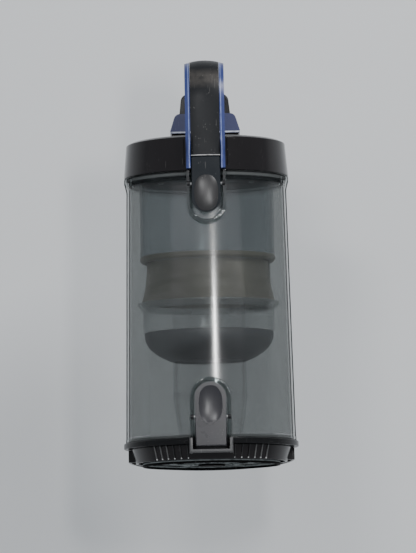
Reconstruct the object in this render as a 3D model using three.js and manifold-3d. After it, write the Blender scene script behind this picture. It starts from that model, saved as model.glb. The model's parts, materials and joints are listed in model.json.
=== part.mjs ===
// Dust bin of a bagless vacuum cleaner: a smoky clear bin with a hinged lid and carrying handle on top, a
// hinged bottom door with an air grille, two press latches, a release button, and a cyclone separator inside.
// Millimetres, +Z up, front towards -Y. The origin is the centre of the base, on the plane the bin stands on.
import * as THREE from "three";
import { mergeVertices } from "three/addons/utils/BufferGeometryUtils.js";
import Module from "manifold-3d";

// Driving dimensions
const GAP = 0.3; // clearance between neighbouring pieces
const ROUND = 44; // facets round a large circle
const SMALL_ROUND = 12; // facets round a pin, hole or screw

const BIN = {
  bottom: 21.5, // where the bin's lower edge sits above the base
  top: 257.7,
  bottomRadius: 75.8,
  topRadius: 71.4,
  wall: 2.4,
  bead: 3.2, // height of the thickened edge at each end
  flare: 11.5, // height of the widening below the upper edge
  topBeadRadius: 73.6,
  bottomBeadRadius: 76.1,
  ledgeTop: 251.4, // inner ledge that carries the separator
  ledgeRadius: 67.2,
};
const LID = {
  bottom: 258,
  edge: 288, // height of the shoulder
  crown: 293,
  bottomRadius: 73.7,
  edgeRadius: 71,
  wall: 2.5,
  plateBottom: 260.3,
  plateTop: 262.8,
  plateRadius: 70.2,
};
const SLEEVE = { bottom: 188, top: 253.7, radius: 60, wall: 1.8, flangeRadius: 68.7, flange: 2 };
const SCREEN = { bottom: 146.3, top: 182, bottomRadius: 60, topRadius: 54.6, wall: 1.2 };
const SKIRT = { bottom: 119.8, top: 140, radius: 58.6, wall: 1.6 };
const BOWL = { rim: 119.5, waist: 116.9, depth: 28.4, radius: 57.6, wall: 1.8 };
const TUBE = { bottom: 65, top: 176, radius: 32.6, wall: 1.8 };
const SOCKET = { bottom: 21.3, top: 62, bottomRadius: 27.5, topRadius: 33, wall: 2 };
const RING = { bottom: 182.3, top: 187.7, inner: 54, outer: 60.4 }; // between the sleeve and the screen
const SEPARATOR_FLANGE = { bottom: 140.3, top: 146, inner: 55.5, neck: 58.9, outer: 63.5 };
const DOOR = {
  rimBottom: 16,
  rimTop: 21,
  rimRadius: 77.9,
  rimInner: 70,
  coneTopRadius: 71,
  coneBottomRadius: 67.5,
  coneBottom: 3,
  skirtRadius: 74.4,
  skirtSideBottom: 5.4, // the rear skirt's lower edge slopes from here at the sides down to 0 at the back
  wall: 2,
  outletRadius: 26,
  loopHalf: 19.2,
  loopFront: 85,
  loopBottom: 7.6,
  loopThick: 2.9,
};
const HANDLE = { gripHalf: 12.8, shellInner: 13.1, shellOuter: 17.4 };
const COWL = { front: 8, back: 52, bottom: 300.5, top: 318, bottomHalf: 32, topHalf: 27, wall: 2.5 };
const PLATFORM = { half: 30, front: COWL.front + 1, back: COWL.back - 1, top: COWL.bottom - GAP, wall: 2.5 };
const BUTTON = {
  front: 36,
  back: 46.5,
  bottom: 310,
  collar: 313,
  top: 339.5,
  bottomHalf: 23.8,
  topHalf: 21.5,
};
const HINGE_REACH = 8.5; // half width of a middle knuckle
const EAR = { inner: 9, outer: 15 }; // across X, each side of the knuckle
const LID_HINGE = { y: 80.5, z: 262, pin: 2, knuckle: 4.4 };
const DOOR_HINGE = { y: 83, z: 19, pin: 2, knuckle: 4.6 };
const LID_LATCH = {
  pivotY: -78.2,
  pivotZ: 245.2,
  front: -83,
  back: -78.6,
  low: 219.7,
  high: 268.9,
  half: 12.8,
  railInner: 14,
  railOuter: 17.5,
  railFront: -80.5,
};
const DOOR_LATCH = {
  pivotY: -79.8,
  pivotZ: 39.2,
  front: -84.6,
  back: -80.2,
  low: 13.4,
  high: 69.6,
  half: 13.75,
  dish: 50.1, // height of the finger dish's middle
  railInner: 14.8,
  railOuter: 18.4,
  railFront: -82.5,
};
const LATCH_PIN = 1.5; // radius
const INLET = { left: 20, right: 53, bottom: 150, top: 186, wall: 2.4, end: 86, flange: 4 };

const material = (color, roughness, metalness = 0, opacity = 1) =>
  new THREE.MeshStandardMaterial({ color, roughness, metalness, opacity, transparent: opacity < 1 });
const SMOKY_CLEAR = material(0x8a9090, 0.1, 0, 0.35);
const SMOKY_DARK = material(0x4c5256, 0.2, 0, 0.6);
const BOWL_DARK = material(0x2e3238, 0.25, 0, 0.8);
const GLOSS_BLACK = material(0x141315, 0.15);
const SATIN_BLACK = material(0x1d1d1f, 0.45);
const LATCH_GREY = material(0x4a4a4e, 0.35);
const PERIWINKLE = material(0x4a5590, 0.35);
const COWL_VIOLET = material(0x44486e, 0.4);
const MESH_BROWN = material(0x6b6254, 0.5, 0.6);
const RUBBER = material(0x161616, 0.8);
const STEEL = material(0xb0b2b5, 0.3, 1);

const wasm = await Module();
wasm.setup();

// A closed geometry as a manifold-3d solid, turned to face out.
function solid(geometry) {
  const flat = geometry.index ? geometry.toNonIndexed() : geometry;
  const bare = new THREE.BufferGeometry().setAttribute("position", flat.getAttribute("position"));
  const merged = mergeVertices(bare, 1e-3);
  const v = merged.getAttribute("position").array;
  const corners = [];
  for (let i = 0; i < merged.index.count; i += 3) {
    const [a, b, c] = merged.index.array.subarray(i, i + 3);
    if (a !== b && b !== c && c !== a) corners.push([a, b, c]);
  }
  const point = (i) => new THREE.Vector3(v[3 * i], v[3 * i + 1], v[3 * i + 2]);
  const volume = corners.reduce((sum, [a, b, c]) => sum + point(a).dot(point(b).cross(point(c))), 0);
  const triVerts = new Uint32Array(corners.flatMap(([a, b, c]) => (volume < 0 ? [a, c, b] : [a, b, c])));
  return new wasm.Manifold(new wasm.Mesh({ numProp: 3, vertProperties: v, triVerts }));
}

const union = (...solids) => solids.reduce((a, b) => a.add(b));
const cut = (body, ...tools) => tools.reduce((a, b) => a.subtract(b), body);

// A solid as a named mesh with a material.
function piece(name, body, look) {
  const made = body.getMesh();
  const geometry = new THREE.BufferGeometry();
  geometry.setAttribute("position", new THREE.BufferAttribute(new Float32Array(made.vertProperties), 3));
  geometry.setIndex(new THREE.BufferAttribute(new Uint32Array(made.triVerts), 1));
  geometry.computeVertexNormals();
  const mesh = new THREE.Mesh(geometry, look);
  mesh.name = name;
  return mesh;
}

// A closed ring or disc turned about Z from [radius, height] points.
function turned(profile, segments = ROUND) {
  const onAxis = profile[0][0] === 0 && profile.at(-1)[0] === 0;
  const points = (onAxis ? profile : [...profile, profile[0]]).map(([r, z]) => new THREE.Vector2(r, z));
  return solid(new THREE.LatheGeometry(points, segments).rotateX(Math.PI / 2));
}

const ring = (inner, outer, z0, z1, segments = ROUND) =>
  turned([[inner, z0], [outer, z0], [outer, z1], [inner, z1]], segments);

const disc = (radius, z0, z1, segments = ROUND) =>
  turned([[0, z0], [radius, z0], [radius, z1], [0, z1]], segments);

function box(x0, x1, y0, y1, z0, z1) {
  const geometry = new THREE.BoxGeometry(x1 - x0, y1 - y0, z1 - z0);
  return solid(geometry.translate((x0 + x1) / 2, (y0 + y1) / 2, (z0 + z1) / 2));
}

const rodX = (radius, x0, x1, y, z, segments = SMALL_ROUND) =>
  solid(
    new THREE.CylinderGeometry(radius, radius, x1 - x0, segments)
      .rotateZ(Math.PI / 2)
      .translate((x0 + x1) / 2, y, z),
  );

const rodY = (radius, y0, y1, x, z, segments = SMALL_ROUND) =>
  solid(new THREE.CylinderGeometry(radius, radius, y1 - y0, segments).translate(x, (y0 + y1) / 2, z));

const rodZ = (radius, z0, z1, x, y, segments = SMALL_ROUND) =>
  disc(radius, z0, z1, segments).translate([x, y, 0]);

// A shape drawn in X and Z, from y0 to y1.
function slabY(shape, y0, y1, curveSegments = 12) {
  const geometry = new THREE.ExtrudeGeometry(shape, { depth: y1 - y0, bevelEnabled: false, curveSegments });
  return solid(geometry.rotateX(Math.PI / 2).translate(0, y1, 0));
}

// A shape drawn in Y and Z, from x0 to x1.
function slabX(shape, x0, x1, curveSegments = 8) {
  const geometry = new THREE.ExtrudeGeometry(shape, { depth: x1 - x0, bevelEnabled: false, curveSegments });
  const basis = new THREE.Matrix4().makeBasis(
    new THREE.Vector3(0, 1, 0),
    new THREE.Vector3(0, 0, 1),
    new THREE.Vector3(1, 0, 0),
  );
  return solid(geometry.applyMatrix4(basis).translate(x0, 0, 0));
}

const polygon = (points) => new THREE.Shape(points.map(([u, v]) => new THREE.Vector2(u, v)));

// A coil spring of one wire about Z, from z0 to z1.
function coil(radius, wire, turns, z0, z1) {
  class Helix extends THREE.Curve {
    getPoint(t, target = new THREE.Vector3()) {
      const angle = t * turns * 2 * Math.PI;
      const z = z0 + wire + t * (z1 - z0 - 2 * wire);
      return target.set(radius * Math.cos(angle), radius * Math.sin(angle), z);
    }
  }
  const section = new THREE.Shape().absarc(0, 0, wire, 0, 2 * Math.PI);
  const options = { steps: turns * 10, extrudePath: new Helix(), curveSegments: 3, bevelEnabled: false };
  return solid(new THREE.ExtrudeGeometry(section, options));
}

const binRadius = (z) =>
  BIN.bottomRadius + ((z - BIN.bottom) / (BIN.top - BIN.bottom)) * (BIN.topRadius - BIN.bottomRadius);

// The space inside the bin's wall, past both ends.
const binInside = turned([
  [0, BIN.bottom - 5],
  [binRadius(BIN.bottom - 5) - BIN.wall, BIN.bottom - 5],
  [binRadius(BIN.top + 5) - BIN.wall, BIN.top + 5],
  [0, BIN.top + 5],
]);

// A rail's outline in X and Z: straight sides from z = end and a half round cap about z = centre.
function railShape(half, centre, end) {
  const up = centre > end;
  const shape = new THREE.Shape().moveTo(-half, end);
  shape.lineTo(-half, centre);
  shape.absarc(0, centre, half, Math.PI, 0, up);
  shape.lineTo(half, end);
  return shape;
}

// The clear U-shaped wall that stands on the bin round a latch.
function latchRail(latch, centre, end) {
  const { railOuter, railInner, railFront } = latch;
  const root = -binRadius(centre) + 6;
  const pastEnd = end + Math.sign(end - centre);
  const outer = slabY(railShape(railOuter, centre, end), railFront, root);
  const inner = slabY(railShape(railInner, centre, pastEnd), railFront - 1, root + 1);
  const room = turned([
    [0, 0],
    [binRadius(0), 0],
    [binRadius(300), 300],
    [0, 300],
  ]);
  const hole = rodX(LATCH_PIN + 0.35, -30, 30, latch.pivotY, latch.pivotZ);
  return cut(outer, cut(inner, room), hole);
}

// Two ears for a hinge pin, each an upright plate with a round end.
function hingeEars(outline, hinge) {
  const hole = rodX(hinge.pin + GAP, -EAR.outer - 1, EAR.outer + 1, hinge.y, hinge.z);
  const ears = [-1, 1].map((side) => {
    const [a, b] = [side * EAR.inner, side * EAR.outer].sort((p, q) => p - q);
    return slabX(outline, a, b);
  });
  return cut(union(...ears), hole);
}

// Each ear reaches a little inside the bin's wall, where the bin's hollow trims it.
function doorEarShape() {
  const { y, z, knuckle } = DOOR_HINGE;
  const root = BIN.topRadius - 1;
  const shape = new THREE.Shape().moveTo(y - knuckle, z);
  shape.absarc(y, z, knuckle, Math.PI, 0, false);
  shape.lineTo(y + knuckle, z + 7);
  shape.lineTo(root + 4, z + 25);
  shape.lineTo(root, z + 25);
  shape.lineTo(root, z + 3);
  shape.lineTo(y - knuckle, z + 3);
  return shape;
}

function lidEarShape() {
  const { y, z, knuckle } = LID_HINGE;
  const root = BIN.topRadius - 5;
  const shape = new THREE.Shape().moveTo(y + knuckle, z);
  shape.absarc(y, z, knuckle, 0, Math.PI, false);
  shape.lineTo(y - knuckle, BIN.top);
  shape.lineTo(root, BIN.top);
  shape.lineTo(root, z - 24);
  shape.lineTo(root + 4, z - 24);
  return shape;
}

// The tangential inlet, open from the bin's inside to its rear end.
function inletWalls() {
  const { left, right, bottom, top, end, flange } = INLET;
  return union(
    box(left, right, 20, end, bottom, top),
    box(left - flange, right + flange, end - 3, end, bottom - flange, top + flange),
  );
}

function inletPassage(rear) {
  const { left, right, bottom, top, wall } = INLET;
  return box(left + wall, right - wall, 10, rear, bottom + wall, top - wall);
}

function binShell() {
  const outside = turned([
    [0, BIN.bottom],
    [BIN.bottomBeadRadius, BIN.bottom],
    [BIN.bottomBeadRadius, BIN.bottom + BIN.bead],
    [binRadius(BIN.bottom + BIN.bead), BIN.bottom + BIN.bead],
    [binRadius(BIN.top - BIN.flare), BIN.top - BIN.flare],
    [BIN.topBeadRadius, BIN.top - BIN.bead],
    [BIN.topBeadRadius, BIN.top],
    [0, BIN.top],
  ]);
  const radius = LID_LATCH.half + 0.4;
  const walls = union(
    outside,
    latchRail(LID_LATCH, LID_LATCH.low + radius, BIN.top),
    latchRail(DOOR_LATCH, DOOR_LATCH.high - DOOR_LATCH.half, BIN.bottom),
    hingeEars(doorEarShape(), DOOR_HINGE),
    hingeEars(lidEarShape(), LID_HINGE),
    inletWalls(),
  );
  const ledge = ring(BIN.ledgeRadius, binRadius(BIN.ledgeTop) - 1, BIN.ledgeTop - 2.4, BIN.ledgeTop);
  return union(cut(walls, binInside, inletPassage(INLET.end + 1)), ledge);
}

function inletSeal() {
  const { left, right, bottom, top, end, flange } = INLET;
  const lip = flange - 1;
  const rear = end + GAP;
  const outer = box(left - lip, right + lip, rear, rear + 2.5, bottom - lip, top + lip);
  return cut(outer, inletPassage(rear + 4));
}

// Separator: the sleeve hangs from the bin's ledge and carries the screen, skirt, bowl and outlet tube.
function separatorSleeve() {
  const { bottom, top, radius, wall, flangeRadius, flange } = SLEEVE;
  return turned([
    [radius - wall, bottom],
    [radius, bottom],
    [radius, top - flange],
    [flangeRadius, top - flange],
    [flangeRadius, top],
    [radius - wall, top],
  ]);
}

function screenRing() {
  const { bottom, top, inner, outer } = RING;
  return turned([
    [inner, bottom],
    [outer - 1.8, bottom],
    [outer, bottom + 1.9],
    [outer, top],
    [inner, top],
  ]);
}

function meshScreen() {
  const { bottom, top, bottomRadius, topRadius, wall } = SCREEN;
  return turned([
    [bottomRadius - wall, bottom],
    [bottomRadius, bottom],
    [topRadius, top],
    [topRadius - wall, top],
  ]);
}

function screenFlange() {
  const { bottom, top, inner, neck, outer } = SEPARATOR_FLANGE;
  return turned([
    [inner, bottom],
    [neck, bottom],
    [outer, top - 1.6],
    [outer, top],
    [inner, top],
  ]);
}

function dustBowl() {
  const { rim, waist, depth, radius, wall } = BOWL;
  const neck = TUBE.radius + GAP;
  const steps = 4;
  const side = (r, h, from) => {
    const start = Math.acos(from / r);
    return Array.from({ length: steps + 1 }, (_, i) => {
      const angle = (start * (steps - i)) / steps;
      return [r * Math.cos(angle), waist - h * Math.sin(angle)];
    });
  };
  return turned([
    ...side(radius, depth, neck),
    [radius, rim],
    [radius - wall, rim],
    ...side(radius - wall, depth - wall, neck).reverse(),
  ]);
}

// Lid: a black cover with a plate screwed inside it, and the handle and cowl on top.
function lidOutside(grow) {
  const { bottom, edge, crown, bottomRadius, edgeRadius } = LID;
  return turned([
    [0, bottom - grow],
    [bottomRadius + grow, bottom - grow],
    [edgeRadius + 0.5 + grow, edge - 3],
    [edgeRadius - 0.6 + grow, edge + grow],
    [edgeRadius - 4, edge + 1.8 + grow],
    [35, crown - 0.8 + grow],
    [0, crown + grow],
  ]);
}

const lidScrewPlaces = [45, 135, 225, 315].map((degrees) => {
  const angle = THREE.MathUtils.degToRad(degrees);
  return [58 * Math.cos(angle), 58 * Math.sin(angle)];
});
const handleScrews = [
  { name: "handle_screw_front", y: -64.8, seat: 284.9, tip: 302 },
  { name: "handle_screw_rear", y: 21, seat: PLATFORM.top - PLATFORM.wall - GAP, tip: 334 },
];
const cowlScrews = [
  { name: "cowl_screw_left", x: -22, y: 16 },
  { name: "cowl_screw_right", x: 22, y: 16 },
];
const cowlSeat = PLATFORM.top - PLATFORM.wall - GAP; // under the platform's top

// The middle knuckle on the back of the lid.
function lidKnuckle() {
  const { y, z, knuckle, pin } = LID_HINGE;
  const root = LID.edgeRadius - 1;
  const shape = new THREE.Shape().moveTo(y, z + knuckle);
  shape.absarc(y, z, knuckle, Math.PI / 2, -Math.PI / 2, true);
  shape.lineTo(root + 1, LID.bottom);
  shape.lineTo(root, z + 8);
  return cut(slabX(shape, -HINGE_REACH, HINGE_REACH), rodX(pin + GAP, -EAR.outer, EAR.outer, y, z));
}

// The block on the lid that the cowl is screwed to, and the hollow under it.
const cowlPlatform = () => {
  const { half, front, back, top } = PLATFORM;
  return box(-half, half, front, back, LID.edge - 4, top);
};

const underPlatform = () => {
  const { half, front, back, top, wall } = PLATFORM;
  return box(-half + wall, half - wall, front + wall, back - wall, LID.edge - 5, top - wall);
};

function lidHollow() {
  const { bottom, edge, crown, bottomRadius, edgeRadius, wall } = LID;
  return turned([
    [0, bottom - 1],
    [bottomRadius - wall, bottom - 1],
    [edgeRadius - wall, edge - 3],
    [edgeRadius - wall - 4, edge - 1],
    [0, crown - wall - 0.8],
  ]);
}

function lidCover() {
  const { bottom, edge, bottomRadius, plateTop } = LID;
  const catchLedge = box(-9, 9, -bottomRadius - 2.8, -bottomRadius + 2, bottom + 1, bottom + 4.5);
  const bosses = lidScrewPlaces.map(([x, y]) => rodZ(4, plateTop + GAP, edge, x, y));
  const bores = lidScrewPlaces.map(([x, y]) => rodZ(1.9, plateTop - 1, plateTop + 14, x, y));
  const handleHoles = handleScrews.map(({ y }) => rodZ(2.1, edge - 8, COWL.bottom + 4, 0, y));
  const cowlHoles = cowlScrews.map(({ x, y }) => rodZ(2.1, edge - 8, COWL.bottom + 4, x, y));
  const cover = cut(union(lidOutside(0), lidKnuckle(), catchLedge), lidHollow());
  const topped = union(cut(union(cover, cowlPlatform()), underPlatform()), ...bosses);
  return cut(topped, ...bores, ...handleHoles, ...cowlHoles);
}

function lidPlate() {
  const { plateBottom, plateTop, plateRadius } = LID;
  const plate = turned([
    [0, plateBottom],
    [66.2, plateBottom],
    [66.2, 254.2],
    [68.6, 254.2],
    [68.6, plateBottom],
    [plateRadius, plateBottom],
    [plateRadius, plateTop],
    [0, plateTop],
  ]);
  return cut(plate, ...lidScrewPlaces.map(([x, y]) => rodZ(2.1, plateBottom - 1, plateTop + 1, x, y)));
}

// A pan-head screw pointing up, its head's underside at z = seat.
function screw(x, y, seat, tip, shank = 1.6, head = 2.9, headHeight = 1.8) {
  const body = turned(
    [
      [0, seat - headHeight],
      [head * 0.7, seat - headHeight],
      [head, seat - headHeight * 0.45],
      [head, seat],
      [shank, seat],
      [shank, tip - 2],
      [0, tip],
    ],
    SMALL_ROUND,
  );
  const slot = box(-head, head, -0.4, 0.4, seat - headHeight - 1, seat - headHeight + 0.7);
  return cut(body, slot).translate([x, y, 0]);
}

// The handle's outline between two lines that run along it: 0 is the outer edge and 1 the inner edge.
const HANDLE_OUTER = [
  [-84, 258.6], [-83, 318],
  [-82.4, 345], [-68, 358.5], [-44, 358.5],
  [-20, 358.5], [2, 354], [16, 343],
  [26, 335], [32, 328], [33, 318.4],
];
const HANDLE_INNER = [
  [-61, 258.6], [-61, 312],
  [-61, 328], [-55, 337.5], [-42, 337.5],
  [-24, 337.5], [-8, 335], [2, 327.5],
  [7, 323.5], [9.5, 321], [10, 318.4],
];

function handleStrip(from, to) {
  const along = (share) =>
    HANDLE_OUTER.map(([y, z], i) => [
      y + share * (HANDLE_INNER[i][0] - y),
      z + share * (HANDLE_INNER[i][1] - z),
    ]);
  const [a, b] = [along(from), along(to).reverse()];
  const shape = new THREE.Shape().moveTo(...a[0]).lineTo(...a[1]);
  for (let i = 2; i < a.length; i += 3) shape.bezierCurveTo(...a[i], ...a[i + 1], ...a[i + 2]);
  shape.lineTo(...b[0]);
  for (let i = 1; i < b.length - 1; i += 3) shape.bezierCurveTo(...b[i], ...b[i + 1], ...b[i + 2]);
  shape.lineTo(...b.at(-1));
  return shape;
}

// What the handle has to stay clear of.
const handleRoom = union(
  lidOutside(GAP),
  box(-40, 40, COWL.front - GAP, COWL.back, LID.edge, COWL.top + GAP),
);
const screwBores = handleScrews.map(({ y, tip }) => rodZ(1.9, LID.edge - 10, tip + 1, 0, y));

function handleShell(side) {
  const { shellInner, shellOuter } = HANDLE;
  const [x0, x1] = side < 0 ? [-shellOuter, -shellInner] : [shellInner, shellOuter];
  return cut(slabX(handleStrip(0.08, 1), x0, x1), handleRoom);
}

function handleGrip(from, to, lowest) {
  const { gripHalf } = HANDLE;
  const below = box(-40, 40, -100, -40, 200, lowest);
  return cut(slabX(handleStrip(from, to), -gripHalf, gripHalf), handleRoom, below, ...screwBores);
}

// A block across the rear, narrower at the top, with round upper corners.
function shoulderShape(bottomHalf, topHalf, bottom, top, corner) {
  const lean = (bottomHalf - topHalf) / (top - bottom);
  const shape = new THREE.Shape().moveTo(-bottomHalf, bottom);
  shape.lineTo(-topHalf - lean * corner, top - corner);
  shape.quadraticCurveTo(-topHalf, top, -topHalf + corner, top);
  shape.lineTo(topHalf - corner, top);
  shape.quadraticCurveTo(topHalf, top, topHalf + lean * corner, top - corner);
  shape.lineTo(bottomHalf, bottom);
  return shape;
}

function rearCowl() {
  const { front, back, bottom, top, bottomHalf, topHalf, wall } = COWL;
  const outer = slabY(shoulderShape(bottomHalf, topHalf, bottom, top, 6), front, back, 5);
  const innerShape = shoulderShape(bottomHalf - wall, topHalf - wall, bottom - 1, top - wall, 5);
  const inner = slabY(innerShape, front + wall, back - wall, 5);
  const slot = box(-24.2, 24.2, BUTTON.front - 0.5, BUTTON.back + 0.5, top - 5, top + 5);
  const hookSlot = box(-6.5, 6.5, back - 4, back + 1, bottom - 1, 313.5);
  const bosses = cowlScrews.map(({ x, y }) => rodZ(3.6, bottom, top - 1, x, y));
  const bores = cowlScrews.map(({ x, y }) => rodZ(1.9, bottom - 1, top - 6, x, y));
  const handleBore = rodZ(2.1, bottom, top + 1, 0, handleScrews[1].y);
  return cut(union(cut(outer, inner, slot, hookSlot), ...bosses), ...bores, handleBore);
}

// The release button and its hook slide down together, against a coil spring.
function releaseButton() {
  const { front, back, bottom, collar, top, bottomHalf, topHalf } = BUTTON;
  const cap = slabY(shoulderShape(bottomHalf, topHalf, collar, top, 6), front, back, 5);
  const flange = box(-22, 22, front - 2, back + 1.5, bottom, collar + 1);
  const pocket = rodZ(5, bottom - 1, bottom + 2.5, 0, 41);
  return cut(union(cap, flange), pocket);
}

function releaseHook() {
  const shape = polygon([
    [48.3, 310], [58.5, 310], [58.5, 304.5], [56.2, 301.5], [54.8, 301.5], [54.8, 307], [48.3, 307],
  ]);
  return slabX(shape, -6, 6);
}

// Latches: press levers on steel pins, each with a coil spring behind its pad.
function latchPlate(latch, roundUp) {
  const centre = roundUp ? latch.high - latch.half : latch.low + latch.half;
  const square = roundUp ? latch.low : latch.high;
  return slabY(railShape(latch.half, centre, square), latch.front, latch.back);
}

function lidLatchLever() {
  const { pivotY, pivotZ, back, half, high } = LID_LATCH;
  const boss = rodX(3.2, -half, half, pivotY, pivotZ);
  const hook = box(-8, 8, back - 1, -76.9, high - 5.4, high - 1);
  const pocket = rodY(4.2, back - 1.5, back + 1, 0, 228);
  return cut(
    union(latchPlate(LID_LATCH, false), boss, hook),
    rodX(LATCH_PIN + 0.35, -30, 30, pivotY, pivotZ),
    pocket,
  );
}

// An ellipsoid whose outline, seen along Y, is a little fuller than an ellipse.
function oval(halfX, halfY, halfZ, y, z) {
  const fullness = 2.4;
  const ball = new THREE.SphereGeometry(1, 24, 12);
  const points = ball.getAttribute("position");
  for (let i = 0; i < points.count; i++) {
    const across = points.getX(i);
    const up = points.getZ(i);
    const reach = (Math.abs(across) ** fullness + Math.abs(up) ** fullness) ** (1 / fullness);
    const factor = reach > 1e-6 ? Math.hypot(across, up) / reach : 1;
    points.setX(i, across * factor);
    points.setZ(i, up * factor);
  }
  return solid(ball.scale(halfX, halfY, halfZ).translate(0, y, z));
}

// The front part of a larger ellipsoid, so that the pad is a shallow dome.
function lidLatchPad() {
  const { front } = LID_LATCH;
  const dome = oval(14.2, 6, 21.3, front + 3.6, 236.5);
  return cut(dome, box(-20, 20, front - GAP, front + 20, 200, 280));
}

// Its front has an oval finger dish with a raised lip.
function doorLatchLever() {
  const { pivotY, pivotZ, front, back, low, half, dish: middle } = DOOR_LATCH;
  const boss = rodX(3.2, -half, half, pivotY, pivotZ);
  const hook = box(-8, 8, back - 1, -DOOR.rimRadius - 0.4, low, low + 3.2);
  const lipShape = new THREE.Shape().absellipse(0, middle, 12, 18, 0, 2 * Math.PI);
  const lip = slabY(lipShape, front - 0.5, front + 1);
  const dish = oval(13, 5.4, 20.2, front - 3.6, middle);
  const pocket = rodY(4.2, back - 1.8, back + 1, 0, 63);
  return cut(
    union(latchPlate(DOOR_LATCH, true), lip, boss, hook),
    rodX(LATCH_PIN + 0.35, -30, 30, pivotY, pivotZ),
    dish,
    pocket,
  );
}

function latchSpring(from, to, z) {
  return coil(3, 0.45, 3, 0, to - from)
    .rotate([-90, 0, 0])
    .translate([0, from, z]);
}

// Door: rim, ribbed cone and rear skirt, floor with the outlet socket, seal and grille.
function doorRim() {
  const { rimBottom, rimTop, rimRadius, rimInner } = DOOR;
  const { y, z, knuckle, pin } = DOOR_HINGE;
  const rim = ring(rimInner, rimRadius, rimBottom, rimTop);
  const arm = box(-HINGE_REACH, HINGE_REACH, rimRadius - 3, y, rimBottom, rimTop);
  const knuckleRod = rodX(knuckle, -HINGE_REACH, HINGE_REACH, y, z);
  const pinHole = rodX(pin + GAP, -EAR.outer, EAR.outer, y, z);
  return cut(union(rim, catchLoop(), arm, knuckleRod), pinHole);
}

// The loop that stands out of the rim round the latch's lower end.
function catchLoop() {
  const { rimTop, rimRadius, rimBottom, loopHalf, loopFront, loopBottom, loopThick } = DOOR;
  const inner = loopHalf - loopThick;
  const root = -rimRadius + 4;
  const sill = loopBottom + loopThick;
  const outside = box(-loopHalf, loopHalf, -loopFront, root, loopBottom, rimTop);
  const hole = box(-inner, inner, -loopFront - 1, root + 1, sill, rimTop + 1);
  const below = box(-inner, inner, -loopFront + 3.5, root + 1, loopBottom - 1, sill + 1);
  return cut(outside, hole, below, disc(rimRadius - 1.5, loopBottom - 1, rimBottom));
}

// The slope that trims the rear skirt's lower edge.
function skirtSlope() {
  const { skirtRadius, skirtSideBottom } = DOOR;
  return slabX(polygon([[0, -2], [0, skirtSideBottom], [skirtRadius, 0], [skirtRadius + 9, -2]]), -90, 90);
}

// Radial plates that tie the rear skirt to the cone.
function skirtTies() {
  const { rimBottom, coneBottomRadius, skirtRadius } = DOOR;
  const tie = (degrees) =>
    box(-0.9, 0.9, coneBottomRadius - 1.5, skirtRadius - 0.5, 1.5, rimBottom - GAP).rotate([0, 0, degrees]);
  return [-84.3, -72, -48, -24, 0, 24, 48, 72, 84.3].map(tie);
}

// Thin upright ribs on the front of the cone, the same to the left and right.
function coneFins() {
  const { rimBottom, coneTopRadius, coneBottomRadius, coneBottom } = DOOR;
  const outline = polygon([
    [-coneTopRadius + 1, rimBottom - GAP],
    [-coneTopRadius - 1.1, rimBottom - GAP],
    [-coneBottomRadius - 1.1, coneBottom + 0.4],
    [-coneBottomRadius + 1, coneBottom + 0.4],
  ]);
  const fin = (degrees) => slabX(outline, -0.5, 0.5).rotate([0, 0, degrees]);
  const spread = Array.from({ length: 6 }, (_, i) => 17.3 + 5.5 * i);
  return spread.flatMap((degrees) => [fin(degrees), fin(-degrees)]);
}

function doorSkirt() {
  const { rimBottom, coneTopRadius, coneBottomRadius, coneBottom, skirtRadius, wall } = DOOR;
  const top = rimBottom - GAP;
  const cone = turned([
    [coneBottomRadius - wall, coneBottom],
    [coneBottomRadius, coneBottom],
    [coneTopRadius, top],
    [coneTopRadius - wall, top],
  ]);
  const front = box(-90, 90, -90, 6, -1, 40);
  const rear = union(cut(ring(skirtRadius - wall, skirtRadius, 0, top), front), ...skirtTies());
  return union(cone, cut(rear, skirtSlope()), ...coneFins());
}

function doorFloor() {
  const { rimBottom, rimTop, rimInner, outletRadius } = DOOR;
  return ring(outletRadius, rimInner - GAP, rimBottom + 0.4, rimTop);
}

function doorGrille() {
  const top = DOOR.rimBottom + 0.1;
  const low = 2.2;
  const across = (from, to, degrees, width = 1.8) =>
    box(-width / 2, width / 2, from, to, low, top).rotate([0, 0, degrees]);
  const hexagon = ring(37, 39, low, top, 6).rotate([0, 0, 30]);
  const hub = union(disc(12, 0, 3, 24), ring(10.2, 12, 0, top, 24));
  const inner = Array.from({ length: 6 }, (_, i) => across(11, 37.5, i * 60));
  const outer = Array.from({ length: 12 }, (_, i) => across(i % 2 ? 32.5 : 37, 61, i * 30));
  return union(hub, hexagon, ring(59.6, 61.4, 0, top), ...inner, ...outer);
}

const pinX = (hinge, half) => rodX(hinge.pin, -half, half, hinge.y, hinge.z);

function latchPin({ railOuter, pivotY, pivotZ }) {
  return rodX(LATCH_PIN, -railOuter + 0.4, railOuter - 0.4, pivotY, pivotZ);
}

function group(name, ...meshes) {
  const made = new THREE.Group();
  made.name = name;
  made.add(...meshes);
  return made;
}

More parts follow.
